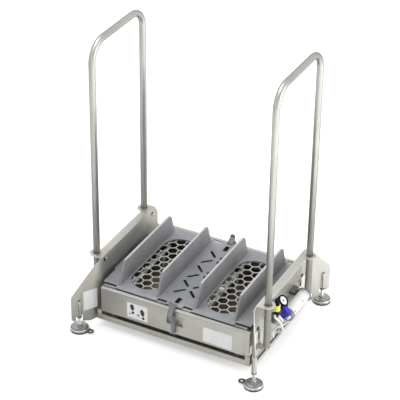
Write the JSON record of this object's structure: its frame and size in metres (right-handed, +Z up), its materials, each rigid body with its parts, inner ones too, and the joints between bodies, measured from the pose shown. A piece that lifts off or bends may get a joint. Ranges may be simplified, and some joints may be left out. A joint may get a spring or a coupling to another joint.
{
  "type": "footwear sanitizing unit",
  "caption": "Step-on footwear sanitizing unit with boot bays, honeycomb spray gratings, tall handrails, air regulator and levelling feet.",
  "frame": {"origin": "on the floor under the middle of the unit", "axes": "+Z up, +X to the right of a person who steps on from the front, +Y forward in their walking direction"},
  "size_m": [0.8102, 0.6866, 1.1627],
  "materials": {
    "stainless": "satin, bead-blasted stainless sheet and tube",
    "bright_steel": "machined stainless, brighter than the sheet",
    "spring_steel": "drawn wire, dull",
    "deck_polymer": "grey board with a faint moulded speckle",
    "divider_polymer": "darker grey board, fine grained",
    "latch_polymer": "moulded grey polymer",
    "foot_rubber": "matt moulded rubber",
    "pump_white": "white moulded polymer, slightly glossy",
    "tubing": "whitish translucent air tubing",
    "tank_polymer": "natural blow-moulded polymer",
    "valve_grey": "dark grey moulded polymer",
    "regulator_blue": "blue moulded housing",
    "sleeve_yellow": "yellow moulded sleeve",
    "gauge_black": "black moulded case"
  },
  "bodies": {
    "frame": {"side_plate_left": "stainless", "side_plate_right": "stainless", "handrail_left": "stainless", "handrail_right": "stainless", "front_cross_rail": "stainless", "rear_cross_rail": "stainless", "foot_lock_nut_front_left": "bright_steel", "foot_lock_nut_front_right": "bright_steel", "foot_lock_nut_rear_left": "bright_steel", "foot_lock_nut_rear_right": "bright_steel", "foot_valve": "valve_grey", "regulator_body": "regulator_blue", "gauge_case": "gauge_black", "regulator_bracket": "stainless", "shutoff_valve": "bright_steel", "air_filter": "valve_grey", "pump_cylinder": "pump_white", "pump_saddles": "stainless", "pilot_block": "valve_grey", "signal_tube": "tubing", "spray_tube": "tubing", "pilot_tube": "tubing"},
    "platform": {"box_panel_front": "stainless", "box_panel_rear": "stainless", "box_wall_left": "stainless", "box_wall_right": "stainless", "drip_pan": "stainless", "deck_plate": "deck_polymer", "grating_left": "bright_steel", "grating_right": "bright_steel", "divider_outer_left": "divider_polymer", "divider_inner_left": "divider_polymer", "divider_inner_right": "divider_polymer", "divider_outer_right": "divider_polymer", "spray_manifold_left": "pump_white", "spray_manifold_right": "pump_white", "solution_tank": "tank_polymer", "tank_cap": "valve_grey", "spring_front_left": "spring_steel", "spring_front_right": "spring_steel", "spring_rear_left": "spring_steel", "spring_rear_right": "spring_steel"},
    "front_latch": {"latch_front": "latch_polymer"},
    "rear_latch": {"latch_rear": "latch_polymer"},
    "plunger": {"valve_plunger": "bright_steel"},
    "knob": {"regulator_knob": "gauge_black"},
    "needle": {"gauge_needle": "gauge_black"},
    "shutoff": {"shutoff_sleeve": "sleeve_yellow"},
    "foot_front_left": {"foot_pad_front_left": "foot_rubber", "foot_cup_front_left": "bright_steel", "foot_stem_front_left": "bright_steel"},
    "foot_front_right": {"foot_pad_front_right": "foot_rubber", "foot_cup_front_right": "bright_steel", "foot_stem_front_right": "bright_steel"},
    "foot_rear_left": {"foot_pad_rear_left": "foot_rubber", "foot_cup_rear_left": "bright_steel", "foot_stem_rear_left": "bright_steel"},
    "foot_rear_right": {"foot_pad_rear_right": "foot_rubber", "foot_cup_rear_right": "bright_steel", "foot_stem_rear_right": "bright_steel"}
  },
  "joints": [
    {"name": "platform_press", "type": "slide", "parent": "frame", "child": "platform", "axis": [0, 0, 1], "range_m": [-0.008, 0], "stiffness_N_per_m": 30000, "springref_m": 0.01, "deforming": ["spring_front_left", "spring_front_right", "spring_rear_left", "spring_rear_right"]},
    {"name": "plunger_press", "type": "slide", "parent": "frame", "child": "plunger", "axis": [0, 0, 1], "range_m": [-0.008, 0]},
    {"name": "front_latch_pivot", "type": "hinge", "parent": "platform", "child": "front_latch", "pos_m": [0.0114, -0.2615, 0.088], "axis": [1, 0, 0], "range_deg": [0, 75]},
    {"name": "rear_latch_pivot", "type": "hinge", "parent": "platform", "child": "rear_latch", "pos_m": [-0.0114, 0.2615, 0.088], "axis": [-1, 0, 0], "range_deg": [0, 75]},
    {"name": "regulator_knob_turn", "type": "hinge", "parent": "frame", "child": "knob", "pos_m": [0.38974, -0.064, 0.16226], "axis": [0.7071, 0, -0.7071], "range_deg": [-540, 540]},
    {"name": "gauge_needle_turn", "type": "hinge", "parent": "frame", "child": "needle", "pos_m": [0.3715, -0.075, 0.23947], "axis": [-0.7071, 0, -0.7071], "range_deg": [0, 270]},
    {"name": "shutoff_slide", "type": "slide", "parent": "frame", "child": "shutoff", "axis": [0, 0, 1], "range_m": [-0.012, 0]},
    {"name": "foot_level_front_left", "type": "slide", "parent": "frame", "child": "foot_front_left", "axis": [0, 0, 1], "range_m": [-0.02, 0.01]},
    {"name": "foot_level_front_right", "type": "slide", "parent": "frame", "child": "foot_front_right", "axis": [0, 0, 1], "range_m": [-0.02, 0.01]},
    {"name": "foot_level_rear_left", "type": "slide", "parent": "frame", "child": "foot_rear_left", "axis": [0, 0, 1], "range_m": [-0.02, 0.01]},
    {"name": "foot_level_rear_right", "type": "slide", "parent": "frame", "child": "foot_rear_right", "axis": [0, 0, 1], "range_m": [-0.02, 0.01]}
  ],
  "couplings": [
    {"joint": "plunger_press", "follows": "platform_press", "ratio": 1}
  ]
}
